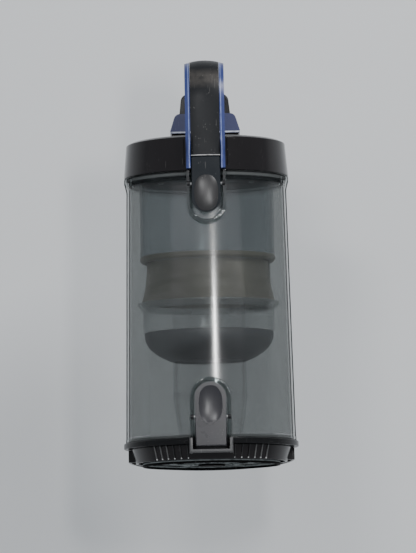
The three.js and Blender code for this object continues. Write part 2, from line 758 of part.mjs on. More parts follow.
const bin = group(
  "bin",
  piece("bin_shell", binShell(), SMOKY_CLEAR),
  piece("inlet_seal", inletSeal(), RUBBER),
  piece("separator_sleeve", separatorSleeve(), SMOKY_DARK),
  piece("screen_ring", screenRing(), MESH_BROWN),
  piece("mesh_screen", meshScreen(), MESH_BROWN),
  piece("screen_flange", screenFlange(), SMOKY_DARK),
  piece("skirt", ring(SKIRT.radius - SKIRT.wall, SKIRT.radius, SKIRT.bottom, SKIRT.top), SMOKY_CLEAR),
  piece("dust_bowl", dustBowl(), BOWL_DARK),
  piece("outlet_tube", ring(TUBE.radius - TUBE.wall, TUBE.radius, TUBE.bottom, TUBE.top), SMOKY_DARK),
  piece("tube_seal", ring(TUBE.radius - 3, TUBE.radius + 0.8, SOCKET.top + GAP, TUBE.bottom - GAP), SMOKY_DARK),
  piece("lid_hinge_pin", pinX(LID_HINGE, EAR.outer), STEEL),
  piece("door_hinge_pin", pinX(DOOR_HINGE, EAR.outer), STEEL),
  piece("lid_latch_pin", latchPin(LID_LATCH), STEEL),
  piece("door_latch_pin", latchPin(DOOR_LATCH), STEEL),
  piece("lid_latch_spring", latchSpring(-79.8, -72.5, 228), STEEL),
  piece("door_latch_spring", latchSpring(-81.7, -75.6, 63), STEEL),
);

const lid = group(
  "lid",
  piece("lid_cover", lidCover(), GLOSS_BLACK),
  piece("lid_plate", lidPlate(), SATIN_BLACK),
  piece("lid_gasket", ring(68.9, 70.7, LID.bottom, LID.plateBottom - GAP), RUBBER),
  piece("handle_shell_left", handleShell(-1), PERIWINKLE),
  piece("handle_shell_right", handleShell(1), PERIWINKLE),
  piece("handle_outer_grip", handleGrip(0, 0.45, LID_LATCH.high + 0.6), SATIN_BLACK),
  piece("handle_inner_grip", handleGrip(0.47, 0.96, LID.edge - 20), SATIN_BLACK),
  piece("rear_cowl", rearCowl(), COWL_VIOLET),
  ...lidScrewPlaces.map(([x, y], i) =>
    piece(`lid_screw_${i + 1}`, screw(x, y, LID.plateBottom - GAP, LID.plateTop + 12), STEEL),
  ),
  ...handleScrews.map(({ name, y, seat, tip }) => piece(name, screw(0, y, seat, tip), STEEL)),
  ...cowlScrews.map(({ name, x, y }) => piece(name, screw(x, y, cowlSeat, 310), STEEL)),
  piece("release_spring", coil(3.6, 0.5, 4, COWL.bottom, BUTTON.bottom + 2.2).translate([0, 41, 0]), STEEL),
);

const release = group(
  "release",
  piece("release_button", releaseButton(), SATIN_BLACK),
  piece("release_hook", releaseHook(), STEEL),
);

const lidLatch = group(
  "lid_latch",
  piece("lid_latch_lever", lidLatchLever(), SATIN_BLACK),
  piece("lid_latch_pad", lidLatchPad(), LATCH_GREY),
);

const doorLatch = group("door_latch", piece("door_latch_lever", doorLatchLever(), LATCH_GREY));

const door = group(
  "door",
  piece("door_rim", doorRim(), GLOSS_BLACK),
  piece("door_skirt", doorSkirt(), GLOSS_BLACK),
  piece("door_floor", doorFloor(), SATIN_BLACK),
  piece("door_grille", doorGrille(), SATIN_BLACK),
  piece("door_seal", ring(71, 72.9, DOOR.rimTop + GAP, 24.3), RUBBER),
  piece(
    "outlet_socket",
    turned([
      [SOCKET.bottomRadius - SOCKET.wall, SOCKET.bottom],
      [SOCKET.bottomRadius, SOCKET.bottom],
      [SOCKET.topRadius, SOCKET.top],
      [SOCKET.topRadius - SOCKET.wall, SOCKET.top],
    ]),
    SMOKY_DARK,
  ),
);

export default group("dust_bin", bin, lid, release, lidLatch, doorLatch, door);
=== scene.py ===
import json
import math

import bmesh
import bpy
from mathutils import Matrix, Vector


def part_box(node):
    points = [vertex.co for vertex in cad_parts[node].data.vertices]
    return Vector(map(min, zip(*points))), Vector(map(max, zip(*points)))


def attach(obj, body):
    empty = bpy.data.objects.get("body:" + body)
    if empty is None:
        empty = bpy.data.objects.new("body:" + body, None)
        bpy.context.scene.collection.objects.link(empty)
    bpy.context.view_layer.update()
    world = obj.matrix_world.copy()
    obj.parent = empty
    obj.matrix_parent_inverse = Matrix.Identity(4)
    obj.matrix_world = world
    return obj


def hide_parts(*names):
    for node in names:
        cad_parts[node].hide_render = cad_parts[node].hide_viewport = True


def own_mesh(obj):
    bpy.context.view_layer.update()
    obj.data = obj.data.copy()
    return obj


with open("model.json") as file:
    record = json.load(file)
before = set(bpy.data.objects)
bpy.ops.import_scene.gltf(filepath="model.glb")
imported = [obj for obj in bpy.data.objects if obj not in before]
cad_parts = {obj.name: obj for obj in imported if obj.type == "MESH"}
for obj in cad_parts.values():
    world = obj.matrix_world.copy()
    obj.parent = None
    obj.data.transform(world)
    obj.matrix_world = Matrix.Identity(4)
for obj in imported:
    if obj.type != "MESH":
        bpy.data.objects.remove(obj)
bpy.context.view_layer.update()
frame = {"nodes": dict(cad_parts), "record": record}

MM = 0.001

# Sizes that the CAD model's boxes don't give
WALL_BOTTOM_RADIUS = 75.8  # of the bin's outside, at its lower edge
WALL_TOP_RADIUS = 71.4
WALL = 2.4
BIN_BOTTOM = 21.5
BIN_TOP = 257.7
FOOT_RADIUS = 76.1  # of the thickened lower edge
RIM_RADIUS = 73.6  # of the thickened upper edge
BEAD = 3.2  # height of both thickened edges
FLARE = 11.5  # height of the bin's widening below its upper edge
FIT = 0.05  # gap between the wall and what stands on it
EARS = 9, 15  # across X, each side of a hinge's middle knuckle
HINGE_REACH = 8.5  # half width of a hinge's middle knuckle
HINGE_HOLE = 2.3  # radius
LID_PIVOT = -78.2, 245.2  # of the lid's latch, in Y and Z
DOOR_PIVOT = -79.8, 39.2
PIVOT_BOSS = 3.2  # radius
PIVOT_HOLE = 1.85
RELEASE_Y = 41  # of the release button's spring
LID_EDGE = 288  # height of the lid's shoulder
LID_CROWN = 293
RIM_BOTTOM = 16  # of the door
RIM_TOP = 21
SKIRT_BOTTOM = 3  # of the door's cone
HANDLE_HALF = 17.4  # half of its width
FULLNESS = 2.4  # of the thumb pads' outlines, where an ellipse has 2
CROWN = 0.13  # share of the handle's thickness by which its outer face drops at the sides
SIDES = (-1, "left"), (1, "right")

# Heights of painted shade lines, painted highlights and painted rim shade in the clear wall's look, in metres
# painted dark lines at the beads' edges, then painted pale highlights on the bead faces
BEAD_SHADE_LINES = 0.0211, 0.0247, 0.2523
BEAD_HIGHLIGHT_LINES = 0.0219, 0.2535
RIM_SHADE_BAND = 0.2485, 0.2592  # between which the wall's flared rim loses its shine and has painted shade under the lid


def cad(node):
    """The lowest and highest corner of a CAD node, in millimetres."""
    low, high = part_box(node)
    return low / MM, high / MM


def axis_of(pin):
    """A pin's place in Y and Z, in millimetres."""
    low, high = cad(pin)
    return (low.y + high.y) / 2, (low.z + high.z) / 2


def wall_radius(z):
    """The bin's outside radius at a height."""
    share = (z - BIN_BOTTOM) / (BIN_TOP - BIN_BOTTOM)
    return WALL_BOTTOM_RADIUS + share * (WALL_TOP_RADIUS - WALL_BOTTOM_RADIUS)


# ---------------------------------------------------------------- shapes


def rounded(corners, steps=5):
    """An outline's points, from (u, v) corners or (u, v, radius) corners that get an arc."""
    points = []
    for i, corner in enumerate(corners):
        here = Vector(corner[:2])
        if len(corner) == 2:
            points.append(here)
            continue
        before = (Vector(corners[i - 1][:2]) - here).normalized()
        after = (Vector(corners[(i + 1) % len(corners)][:2]) - here).normalized()
        half = before.angle(after) / 2
        centre = here + (before + after).normalized() * corner[2] / math.sin(half)
        start = here + before * corner[2] / math.tan(half) - centre
        end = here + after * corner[2] / math.tan(half) - centre
        turn = start.angle_signed(end)
        points += [centre + Matrix.Rotation(-turn * k / steps, 2) @ start for k in range(steps + 1)]
    return points


def arc(centre_u, centre_v, radius, start, end, steps=24):
    """Points on an arc between two angles in degrees."""
    angles = [math.radians(start + (end - start) * k / steps) for k in range(steps + 1)]
    return [Vector((centre_u + radius * math.cos(a), centre_v + radius * math.sin(a))) for a in angles]


def circle(centre_u, centre_v, radius, count=24):
    return arc(centre_u, centre_v, radius, 0, 360 - 360 / count, count - 1)


def ring_section(inner, outer, low, high, edges):
    """A ring's cross-section, with its corners' radii from the inner lower one round."""
    corners = (inner, low), (outer, low), (outer, high), (inner, high)
    return rounded([(*corner, edge) for corner, edge in zip(corners, edges)])


def as_object(name, made):
    """A bmesh in millimetres as a scene object in metres."""
    bmesh.ops.recalc_face_normals(made, faces=made.faces)
    bmesh.ops.scale(made, vec=(MM, MM, MM), verts=made.verts)
    mesh = bpy.data.meshes.new(name)
    made.to_mesh(mesh)
    made.free()
    piece = bpy.data.objects.new(name, mesh)
    bpy.context.scene.collection.objects.link(piece)
    return piece


def turned(name, profile, steps=160):
    """A piece turned round Z from (radius, height) points that close on themselves or end on the axis."""
    made = bmesh.new()
    rings = []
    for radius, z in profile:
        count = 1 if radius < 1e-6 else steps
        angles = [2 * math.pi * k / count for k in range(count)]
        rings.append([made.verts.new((radius * math.cos(a), radius * math.sin(a), z)) for a in angles])
    for low, high in zip(rings, rings[1:] + rings[:1]):
        if len(low) + len(high) == 2:
            continue
        for k in range(steps):
            below = low[k % len(low)], low[(k + 1) % len(low)]
            above = high[(k + 1) % len(high)], high[k % len(high)]
            made.faces.new(list(dict.fromkeys(below + above)))
    return as_object(name, made)


def bridged(made, loops):
    """Faces from each loop of points to the next; returns the two end faces."""
    for near, far in zip(loops, loops[1:]):
        for k in range(len(near)):
            after = (k + 1) % len(near)
            made.faces.new((near[k], near[after], far[after], far[k]))
    return [made.faces.new(loops[0]), made.faces.new(loops[-1])]


def lofted(name, outlines, axis, stations, bevel=0.0, segments=3):
    """Outlines at stations along an axis, joined up, with both rims rounded."""
    made = bmesh.new()
    loops = []
    for outline, w in zip(outlines, stations):
        spots = [{"x": (w, u, v), "y": (u, w, v), "z": (u, v, w)}[axis] for u, v in outline]
        loops.append([made.verts.new(spot) for spot in spots])
    caps = bridged(made, loops)
    if bevel:
        rims = [edge for cap in caps for edge in cap.edges]
        bmesh.ops.bevel(made, geom=rims, offset=bevel, segments=segments, affect="EDGES", profile=0.5)
    return as_object(name, made)


def prism(name, outline, axis, low, high, bevel=0.0, segments=3):
    """An outline carried along an axis. Its points are (x, z) for y, (y, z) for x and (x, y) for z."""
    return lofted(name, [outline, outline], axis, [low, high], bevel, segments)


def block(name, low, high, bevel=0.0):
    (x0, y0, z0), (x1, y1, z1) = low, high
    return prism(name, [(x0, z0), (x1, z0), (x1, z1), (x0, z1)], "y", y0, y1, bevel)


def hole_along_x(y, z, radius, count=24):
    return prism("hole", circle(y, z, radius, count), "x", -30, 30)


def oval(name, radii, centre, steps=96):
    """An ellipsoid whose outline, seen along Y, is a little fuller than an ellipse."""
    made = bmesh.new()
    poles = Matrix.Rotation(math.radians(90), 4, "X")
    bmesh.ops.create_uvsphere(made, u_segments=steps, v_segments=steps // 2, radius=1, matrix=poles)
    for point in made.verts:
        across, up = point.co.x, point.co.z
        reach = (abs(across) ** FULLNESS + abs(up) ** FULLNESS) ** (1 / FULLNESS)
        factor = math.hypot(across, up) / reach if reach > 1e-6 else 1
        shaped = Vector((across * factor, point.co.y, up * factor))
        point.co = shaped * Vector(radii) + Vector(centre)
    return as_object(name, made)


def settle(piece):
    """Makes a piece's modifiers part of its mesh."""
    bpy.context.view_layer.update()
    graph = bpy.context.evaluated_depsgraph_get()
    mesh = bpy.data.meshes.new_from_object(piece.evaluated_get(graph))
    piece.modifiers.clear()
    piece.data = mesh


def copy_of(piece):
    twin = piece.copy()
    twin.data = piece.data.copy()
    bpy.context.scene.collection.objects.link(twin)
    return twin


def combine(piece, how, tools):
    """A piece with others added to it or cut from it, which are used up."""
    for tool in tools:
        change = piece.modifiers.new(tool.name, "BOOLEAN")
        change.object, change.operation, change.solver = tool, how, "EXACT"
    settle(piece)
    for tool in tools:
        bpy.data.objects.remove(tool)
    return piece


def carve(piece, *tools):
    return combine(piece, "DIFFERENCE", tools)


def join(piece, *tools):
    return combine(piece, "UNION", tools)


def soften(piece, width, segments=2, angle=35):
    """Rounds a piece's sharp edges."""
    change = piece.modifiers.new("edges", "BEVEL")
    change.width, change.segments = width * MM, segments
    change.limit_method, change.angle_limit = "ANGLE", math.radians(angle)
    settle(piece)
    return piece


def shade(piece, angle=32):
    """Smooth faces, with edges sharper than the angle left crisp."""
    piece.data.shade_smooth()
    piece.data.set_sharp_from_angle(angle=math.radians(angle))
    piece.modifiers.new("normals", "WEIGHTED_NORMAL").keep_sharp = True


def place(piece, body, slot, look, *nodes):
    """Gives a finished piece its material and its body, and hides the CAD nodes that it stands for."""
    piece.data.materials.clear()
    piece.data.materials.append(LOOKS[look])
    shade(piece)
    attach(piece, body)
    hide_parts(*nodes)
    return piece


def railed(half, centre, end):
    """A U's outline in X and Z: a half round about z = centre and straight sides to z = end."""
    turn = 180 if end > centre else -180
    return [Vector((-half, end)), *arc(0, centre, half, 180, 180 + turn), Vector((half, end))]


# ---------------------------------------------------------------- materials


def add(tree, kind, inputs=None, **settings):
    """A new node, with its inputs set to values or linked to sockets."""
    node = tree.nodes.new(kind)
    for key, value in settings.items():
        setattr(node, key, value)
    for key, value in (inputs or {}).items():
        if isinstance(value, bpy.types.NodeSocket):
            tree.links.new(value, node.inputs[key])
        else:
            node.inputs[key].default_value = value
    return node


def new_look(name):
    """A new material, with its node tree, its shader and the coordinates that its patterns follow."""
    look = bpy.data.materials.new(name)
    look.use_nodes = True
    tree = look.node_tree
    shader = tree.nodes["Principled BSDF"]
    where = add(tree, "ShaderNodeTexCoord").outputs["Object"]
    return look, tree, shader, where


def cloud(tree, where, scale, detail=3, stretch=(1, 1, 1), turn=(0, 0, 0)):
    """Soft noise from 0 to 1, drawn out along an axis by stretch."""
    turn = [math.radians(angle) for angle in turn]
    mapped = add(tree, "ShaderNodeMapping", {"Vector": where, "Scale": stretch, "Rotation": turn})
    inputs = {"Vector": mapped.outputs[0], "Scale": scale, "Detail": detail}
    return add(tree, "ShaderNodeTexNoise", inputs).outputs["Fac"]


def between(tree, value, low, high, out_low=0.0, out_high=1.0):
    """value's range from low to high as out_low to out_high, held at both ends."""
    inputs = {"Value": value, "From Min": low, "From Max": high, "To Min": out_low, "To Max": out_high}
    return add(tree, "ShaderNodeMapRange", inputs).outputs["Result"]


def blended(tree, share, first, second):
    """A colour between two, each a value or a socket."""
    node = add(tree, "ShaderNodeMix", data_type="RGBA")
    for socket, value in ((node.inputs[0], share), (node.inputs[6], first), (node.inputs[7], second)):
        if isinstance(value, bpy.types.NodeSocket):
            tree.links.new(value, socket)
        else:
            socket.default_value = value if isinstance(value, float) else (*value, 1)
    return node.outputs[2]


def chained(tree, operation, values):
    result = values[0]
    for value in values[1:]:
        result = add(tree, "ShaderNodeMath", {0: result, 1: value}, operation=operation).outputs[0]
    return result


def most(tree, *values):
    """The largest of several values."""
    return chained(tree, "MAXIMUM", values)


def product(tree, *values):
    return chained(tree, "MULTIPLY", values)


def scratches(tree, where, amount):
    """Fine streaks in three directions, more of them as amount nears 1."""
    edge = 0.78 - 0.1 * amount
    turns = ((20, 35, 10), (-40, 15, 60), (65, -20, -30))
    streaks = [cloud(tree, where, 760, 1, (1, 0.06, 0.06), turn) for turn in turns]
    return most(tree, *[between(tree, streak, edge, edge + 0.03) for streak in streaks])


def specks(tree, where, scale, size):
    """Small separate dots, of dust or chips."""
    cells = add(tree, "ShaderNodeTexVoronoi", {"Vector": where, "Scale": scale, "Randomness": 1.0})
    rare = between(tree, cloud(tree, where, scale * 0.21, 1), 0.52, 0.6)
    dots = between(tree, cells.outputs["Distance"], size, size * 0.5)
    return product(tree, dots, rare)


def shade_of(colour, factor):
    return tuple(min(1.0, c * factor) for c in colour)


def moulded(name, colour, rough, grain=0.02, wear=0.3, dust=(0.5, 0.48, 0.46), shine=0.5):
    """Moulded plastic: uneven tone, a fine grain, handling scratches and a few specks."""
    look, tree, shader, where = new_look(name)
    tone = blended(tree, cloud(tree, where, 38), shade_of(colour, 0.85), shade_of(colour, 1.18))
    marks = scratches(tree, where, wear)
    share = between(tree, marks, 0.0, 1.0, 0.0, 0.35 * wear)
    scuffed = blended(tree, share, tone, dust)
    dots = between(tree, specks(tree, where, 420, 0.16), 0.0, 1.0, 0.0, wear)
    speckled = blended(tree, dots, scuffed, dust)
    tree.links.new(speckled, shader.inputs["Base Color"])
    smear = between(tree, cloud(tree, where, 65, 4), 0.3, 0.7, rough * 0.9, rough * 1.12)
    scratched = between(tree, marks, 0.0, 1.0, 0.0, rough + 0.25)
    tree.links.new(most(tree, smear, scratched), shader.inputs["Roughness"])
    height = most(tree, cloud(tree, where, 2600, 2), marks)
    bump = add(tree, "ShaderNodeBump", {"Strength": grain * 10, "Distance": 0.00008, "Height": height})
    tree.links.new(bump.outputs[0], shader.inputs["Normal"])
    shader.inputs["Specular IOR Level"].default_value = shine
    return look


def stripe(tree, where, axis, low, high, soft=0.0002):
    """1 between two distances along an axis, in metres, on both sides of the middle, and 0 elsewhere."""
    along = add(tree, "ShaderNodeSeparateXYZ", {0: where}).outputs[axis]
    distance = add(tree, "ShaderNodeMath", {0: along}, operation="ABSOLUTE").outputs[0]
    above = between(tree, distance, low, low + soft)
    below = between(tree, distance, high - soft, high, 1.0, 0.0)
    return product(tree, above, below)


def lined(look, axis, low, high, colour, soft=0.0002, strength=1.0):
    """Adds a patchy line of colour to a look between two distances along an axis; it paints highlights along
    edges, and on the grip a scuffed band.
    """
    tree = look.node_tree
    base = tree.nodes["Principled BSDF"].inputs["Base Color"]
    where = add(tree, "ShaderNodeTexCoord").outputs["Object"]
    patchy_strength = between(tree, cloud(tree, where, 160), 0.3, 0.55, 0.45 * strength, strength)
    share = product(tree, stripe(tree, where, axis, low, high, soft), patchy_strength)
    tree.links.new(blended(tree, share, base.links[0].from_socket, colour), base)
    return look


def with_outline(tree, shader, where, facing, colour, share):
    """A clear wall's colour and solid share, with a painted dark outline where it is seen edge on, a painted
    pale reflection line inside it, painted dark lines and highlights on its beads and painted shade on its
    flared rim.
    """
    # painted dark outline where the wall is seen edge on, standing in for refraction
    rim = between(tree, facing, 0.82, 0.85)
    # painted shade on the flared rim under the lid
    painted_rim_shade = stripe(tree, where, "Z", *RIM_SHADE_BAND, 0.0015)
    # painted pale reflection line just inside the outline
    line = product(tree, between(tree, facing, 0.75, 0.77), between(tree, facing, 0.82, 0.84, 1.0, 0.0))
    # painted dark lines at the beads' edges and painted highlights on the bead faces
    grooves = most(tree, *[stripe(tree, where, "Z", z, z + 0.0011, 0.0004) for z in BEAD_SHADE_LINES])
    painted_bead_highlight = most(tree, *[stripe(tree, where, "Z", z, z + 0.0028, 0.0004) for z in BEAD_HIGHLIGHT_LINES])
    colour = blended(tree, most(tree, line, product(tree, painted_bead_highlight, 0.3)), colour, (0.62, 0.65, 0.65))
    parts = (rim, 0.85), (line, 0.6), (grooves, 0.75), (painted_bead_highlight, 0.1), (painted_rim_shade, 0.3)
    share = most(tree, share, *[product(tree, part, weight) for part, weight in parts])
    shine = between(tree, most(tree, rim, painted_rim_shade), 0.0, 1.0, 1.0, 0.0)
    tree.links.new(shine, shader.inputs["Specular IOR Level"])
    return colour, share


def clear(name, tint, haze, least=0.1, edge_power=5.0, rough=0.07, wear=0.5, outlined=False):
    """Smoky clear plastic, clearer straight on than at its edges, with dust and fine scratches."""
    look, tree, shader, where = new_look(name)
    marks = scratches(tree, where, wear)
    film = cloud(tree, where, 26, 3, (1, 1, 0.25))
    facing = add(tree, "ShaderNodeLayerWeight", {"Blend": 0.5}).outputs["Facing"]
    edge = add(tree, "ShaderNodeMath", {0: facing, 1: edge_power}, operation="POWER").outputs[0]
    tree.links.new(between(tree, film, 0.3, 0.75, rough, rough * 2.2), shader.inputs["Roughness"])
    shader.inputs["IOR"].default_value = 2.3
    shader.inputs["Specular IOR Level"].default_value = 1.0
    body = between(tree, edge, 0.0, 1.0, least, 0.7)
    dirt = between(tree, film, 0.45, 0.8, 0.0, 0.05)
    cloudy = add(tree, "ShaderNodeMath", {0: body, 1: dirt}, operation="ADD", use_clamp=True).outputs[0]
    dots = between(tree, specks(tree, where, 190, 0.09), 0.0, 1.0, 0.0, 0.6 * wear)
    marked = between(tree, marks, 0.0, 1.0, 0.0, 0.3 * wear)
    share = most(tree, cloudy, dots, marked)
    dusty = blended(tree, most(tree, dots, marked), haze, (0.5, 0.52, 0.52))
    # the outline option adds painted shade and highlight lines to the colour and solid share
    if outlined:
        dusty, share = with_outline(tree, shader, where, facing, dusty, share)
    tree.links.new(dusty, shader.inputs["Base Color"])
    see_through = add(tree, "ShaderNodeBsdfTransparent")
    tone = blended(tree, cloud(tree, where, 18), shade_of(tint, 0.97), shade_of(tint, 1.02))
    tree.links.new(tone, see_through.inputs["Color"])
    mixed = add(tree, "ShaderNodeMixShader", {0: share, 1: see_through.outputs[0], 2: shader.outputs[0]})
    tree.links.new(mixed.outputs[0], tree.nodes["Material Output"].inputs["Surface"])
    return look


def woven(name, wire, dirt):
    """A fine steel mesh, dulled by dust, that lets a little light through."""
    look, tree, shader, where = new_look(name)
    waves = add(tree, "ShaderNodeTexWave", {"Vector": where, "Scale": 800}, bands_direction="Z")
    rows = waves.outputs["Fac"]
    dusty = cloud(tree, where, 30, 4, (1, 1, 3))
    base = blended(tree, between(tree, dusty, 0.3, 0.7), dirt, wire)
    striped = blended(tree, between(tree, rows, 0.2, 0.8, 0.0, 0.55), base, shade_of(dirt, 0.35))
    tree.links.new(striped, shader.inputs["Base Color"])
    shader.inputs["Metallic"].default_value = 0.65
    shader.inputs["Roughness"].default_value = 0.38
    bump = add(tree, "ShaderNodeBump", {"Strength": 0.5, "Distance": 0.0002, "Height": rows})
    tree.links.new(bump.outputs[0], shader.inputs["Normal"])
    see_through = add(tree, "ShaderNodeBsdfTransparent")
    share = between(tree, rows, 0.0, 1.0, 0.92, 0.62)
    mixed = add(tree, "ShaderNodeMixShader", {0: share, 1: see_through.outputs[0], 2: shader.outputs[0]})
    tree.links.new(mixed.outputs[0], tree.nodes["Material Output"].inputs["Surface"])
    return look


def metal(name):
    """Turned steel."""
    look, tree, shader, where = new_look(name)
    turned_lines = cloud(tree, where, 900, 2, (1, 1, 0.1))
    tone = blended(tree, turned_lines, (0.36, 0.36, 0.37), (0.62, 0.62, 0.63))
    tree.links.new(tone, shader.inputs["Base Color"])
    tree.links.new(between(tree, turned_lines, 0.2, 0.8, 0.22, 0.42), shader.inputs["Roughness"])
    shader.inputs["Metallic"].default_value = 1.0
    return look


def cowl_look():
    """Blue-violet with a painted highlight along its lower edge."""
    pale = 0.4, 0.42, 0.55
    look = moulded("cowl_violet", (0.053, 0.062, 0.155), 0.38, 0.015, 0.3, dust=pale, shine=0.3)
    # painted highlight line along the cowl's lower edge
    return lined(look, "Z", 0.3006, 0.3021, (0.75, 0.8, 0.95))


def shell_look():
    """Blue with a painted highlight along the edge next to the grip."""
    pale = 0.3, 0.35, 0.55
    look = moulded("periwinkle", (0.03, 0.046, 0.165), 0.3, 0.01, 0.1, dust=pale, shine=0.4)
    # painted highlight along the shell's inner edge next to the grip
    return lined(look, "X", 0.0138, 0.0147, (0.4, 0.48, 0.8), strength=0.55)


def grip_look():
    """Satin black, scuffed where the handle bends, with a painted highlight along its lower edge."""
    look = moulded("grip_black", (0.011, 0.012, 0.014), 0.4, 0.02, 0.3, shine=0.14)
    scuffed = lined(look, "Z", 0.329, 0.349, (0.16, 0.145, 0.13), 0.008, 0.35)
    # painted highlight line along the grip's lower edge
    return lined(scuffed, "Z", 0.2694, 0.2703, (0.5, 0.5, 0.5))


def fin_look(name, colour):
    """Black with a painted highlight at the lower end."""
    # painted highlight at the fin's lower end
    return lined(moulded(name, colour, 0.25), "Z", 0.0033, 0.0047, (0.55, 0.55, 0.55))


def lattice_look():
    """Dull black, with painted highlights along the ribs' lower edges."""
    look = moulded("base_black", (0.004, 0.004, 0.0045), 0.6, 0.02, 0.3, shine=0.05)
    # painted highlights along the lattice ribs' lower edges
    return lined(look, "Z", 0.0018, 0.003, (0.36, 0.39, 0.39))


LOOKS = {
    "smoky_clear": clear(
        "smoky_clear", (0.745, 0.757, 0.755), (0.016, 0.017, 0.018), rough=0.1, outlined=True,
    ),
    "rail_clear": clear(
        "rail_clear", (0.62, 0.66, 0.66), (0.02, 0.024, 0.024), least=0.14, rough=0.05, edge_power=1.6,
    ),
    "smoky_dark": clear(
        "smoky_dark", (0.88, 0.9, 0.91), (0.25, 0.26, 0.28), least=0.06, rough=0.2, wear=0.2,
    ),
    "skirt_clear": clear(
        "skirt_clear", (0.98, 0.985, 0.985), (0.5, 0.52, 0.52), least=0.035, rough=0.15, wear=0.2,
    ),
    "flange_clear": clear(
        "flange_clear", (0.95, 0.96, 0.96), (0.55, 0.57, 0.57), least=0.35, rough=0.15, wear=0.2,
    ),
    "tube_clear": clear(
        "tube_clear", (0.99, 0.99, 0.99), (0.3, 0.31, 0.31), least=0.015, rough=0.15, wear=0.1,
    ),
    "bowl_dark": clear(
        "bowl_dark", (0.5, 0.5, 0.53), (0.075, 0.077, 0.09), least=0.6, rough=0.3, wear=0.4,
    ),
    "gloss_black": moulded("gloss_black", (0.0095, 0.008, 0.009), 0.16, 0.006, 0.15, shine=0.28),
    "satin_black": moulded("satin_black", (0.01, 0.01, 0.0115), 0.34, 0.02, 0.35, shine=0.28),
    "grip_black": grip_look(),
    "lever_blue": moulded("lever_blue", (0.007, 0.01, 0.014), 0.4, 0.02, 0.35, shine=0.12),
    "pad_dark": moulded("pad_dark", (0.016, 0.0155, 0.0165), 0.32, 0.012, 0.3),
    "fin": fin_look("fin", (0.01, 0.01, 0.011)),
    # paler black that paints the light caught by the outer fins' edges
    "painted_light_fin": fin_look("painted_light_fin", (0.1, 0.1, 0.1)),
    "loop_grey": moulded("loop_grey", (0.05, 0.05, 0.052), 0.35, 0.03, 0.8),
    "base_black": lattice_look(),
    "latch_grey": moulded("latch_grey", (0.026, 0.0255, 0.03), 0.3, 0.015, 0.3),
    "rim_black": moulded("rim_black", (0.007, 0.0072, 0.008), 0.24, 0.006, 0.15, shine=0.14),
    "periwinkle": shell_look(),
    "cowl_violet": cowl_look(),
    "mesh_brown": woven("mesh_brown", (0.6, 0.57, 0.5), (0.42, 0.39, 0.33)),
    "ring_brown": moulded("ring_brown", (0.22, 0.21, 0.17), 0.4, 0.02, 0.2),
    "black_rubber": moulded("black_rubber", (0.012, 0.012, 0.012), 0.7, 0.03, 0.2),
    "plate_grey": moulded("plate_grey", (0.15, 0.155, 0.16), 0.5, 0.01, 0.2),
    "grey_rubber": moulded("grey_rubber", (0.1, 0.105, 0.105), 0.6, 0.03, 0.2),
    "steel": metal("steel"),
}


# ---------------------------------------------------------------- bin


def bin_wall():
    """The wall, thicker at both edges, with a ledge inside for the sleeve's flange."""
    ledge_radius, ledge_top, ledge_bottom = 67.2, 251.4, 249
    profile = rounded([
        (wall_radius(BIN_BOTTOM) - WALL, BIN_BOTTOM, 0.4),
        (FOOT_RADIUS, BIN_BOTTOM, 0.7),
        (FOOT_RADIUS, BIN_BOTTOM + BEAD, 0.25),
        (wall_radius(BIN_BOTTOM + BEAD), BIN_BOTTOM + BEAD + 0.2),
        (wall_radius(BIN_TOP - FLARE), BIN_TOP - FLARE, 9),
        (RIM_RADIUS, BIN_TOP - BEAD, 1.4),
        (RIM_RADIUS, BIN_TOP, 1.1),
        (wall_radius(BIN_TOP) - WALL, BIN_TOP, 0.4),
        (wall_radius(ledge_top + 0.2) - WALL, ledge_top, 0.3),
        (ledge_radius, ledge_top, 0.4),
        (ledge_radius, ledge_bottom, 0.6),
        (wall_radius(ledge_bottom - 0.5) - WALL, ledge_bottom - 0.5, 0.4),
    ])
    place(turned("bin_wall", profile, 192), "bin", "smoky_clear", "smoky_clear", "bin_shell")


def wall_core():
    """The space that the bin's wall takes up, to trim what stands on it."""
    top = 300
    return turned("core", [(0, 0), (wall_radius(0) + FIT, 0), (wall_radius(top) + FIT, top), (0, top)], 192)


def rail(name, outer, inner, front, centre, end):
    """The clear U-shaped wall round a latch, run into the bin's wall and trimmed to it."""
    overrun = math.copysign(5, end - centre)
    outside = prism(name, railed(outer, centre, end), "y", front, -60)
    inside = prism("hole", railed(inner, centre, end + overrun), "y", front - 5, -40)
    piece = carve(soften(carve(outside, inside), 1.3, 5, 60), wall_core())
    place(piece, "bin", "smoky_clear", "rail_clear", "bin_shell")


def rails():
    rail("lid_latch_rail", outer=17.5, inner=14, front=-80.5, centre=227.5, end=BIN_TOP)
    rail("door_latch_rail", outer=18.4, inner=14.8, front=-82.5, centre=55.85, end=BIN_BOTTOM)


def nubs():
    """The round ends of each latch's pivot, in its clear rail."""
    for latch, reach in (("lid_latch", 15.7), ("door_latch", 16.5)):
        y, z = axis_of(f"{latch}_pin")
        for side, label in SIDES:
            start, end = sorted((side * (reach - 1.6), side * (reach + 1.4)))
            piece = prism(f"{latch}_nub_{label}", circle(y - 1.2, z, 2.3), "x", start, end, 0.5)
            place(piece, "bin", "satin_black", "satin_black")


def inlet():
    """The rectangular duct at the rear, with its flange and seal."""
    low, high = cad("inlet_seal")
    lip = 1  # how far the flange stands out past the seal
    inset = 3  # from the seal's edge to the duct
    left, right, bottom, top = low.x + inset, high.x - inset, low.z + inset, high.z - inset
    duct = block("bin_inlet", (left, 20, bottom), (right, low.y - 0.4, top), 1.2)
    near, far = (low.x - lip, low.y - 3.3, low.z - lip), (high.x + lip, low.y - 0.3, high.z + lip)
    flange = block("flange", near, far, 0.6)

    def way_through():
        return block("hole", (left + WALL, 0, bottom + WALL), (right - WALL, 120, top - WALL))

    piece = carve(join(duct, flange), way_through(), wall_core())
    place(piece, "bin", "smoky_clear", "smoky_clear", "bin_shell")
    seal = block("inlet_gasket", tuple(low), tuple(high), 0.5)
    place(carve(seal, way_through()), "bin", "black_rubber", "black_rubber", "inlet_seal")


